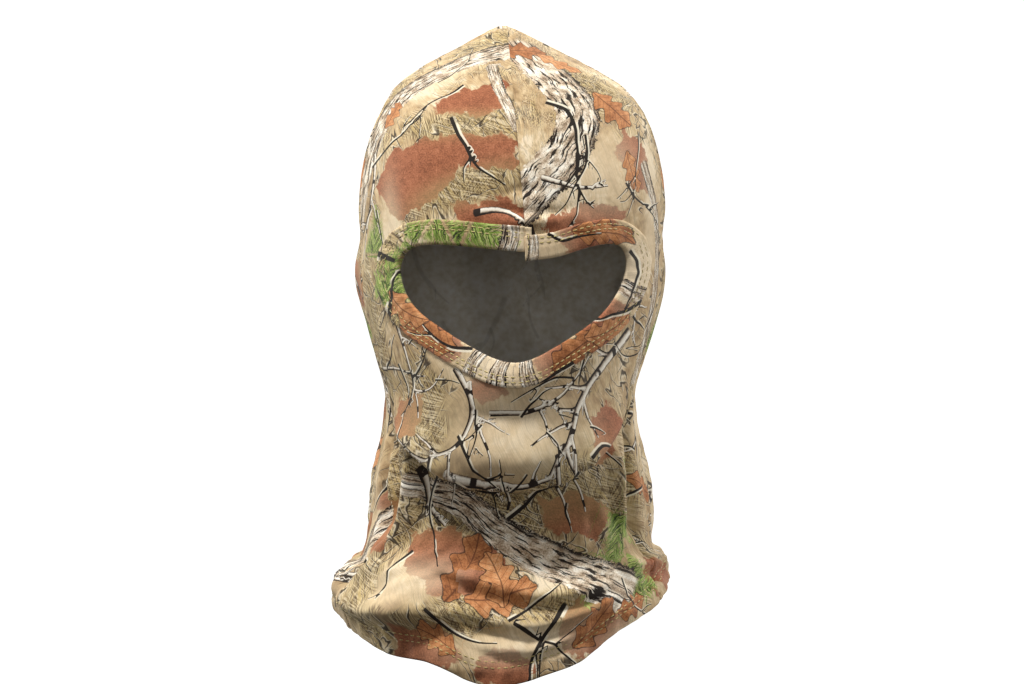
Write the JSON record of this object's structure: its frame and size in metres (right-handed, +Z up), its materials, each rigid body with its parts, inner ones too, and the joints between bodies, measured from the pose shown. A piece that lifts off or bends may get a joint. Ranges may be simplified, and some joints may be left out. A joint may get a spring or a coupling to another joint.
{
  "type": "balaclava face mask",
  "caption": "Stretch-knit camouflage balaclava with one bound opening for the eyes and nose, a closed mask over mouth and chin, and a loose neck cowl with a turned hem.",
  "frame": {"origin": "the middle of the wearer's head, halfway between the ears", "axes": "+Z up towards the crown, -Y the way the wearer looks, +X the wearer's left"},
  "size_m": [0.1782, 0.215, 0.3424],
  "materials": {
    "panel_cloth": "matte",
    "binding_cloth": "matte",
    "overlock": "matte",
    "thread": "matte",
    "label_cloth": "matte"
  },
  "bodies": {
    "root": {"front_panel": "panel_cloth", "back_panel": "panel_cloth", "eye_binding": "binding_cloth", "crown_side_seam_overlock": "overlock", "binding_seam_overlock": "overlock", "forehead_seam_overlock": "overlock", "binding_join_stitch": "thread", "binding_topstitch_inner": "thread", "binding_topstitch_outer": "thread", "hem_topstitch_lower": "thread", "hem_topstitch_upper": "thread", "care_label": "label_cloth"}
  },
  "joints": []
}
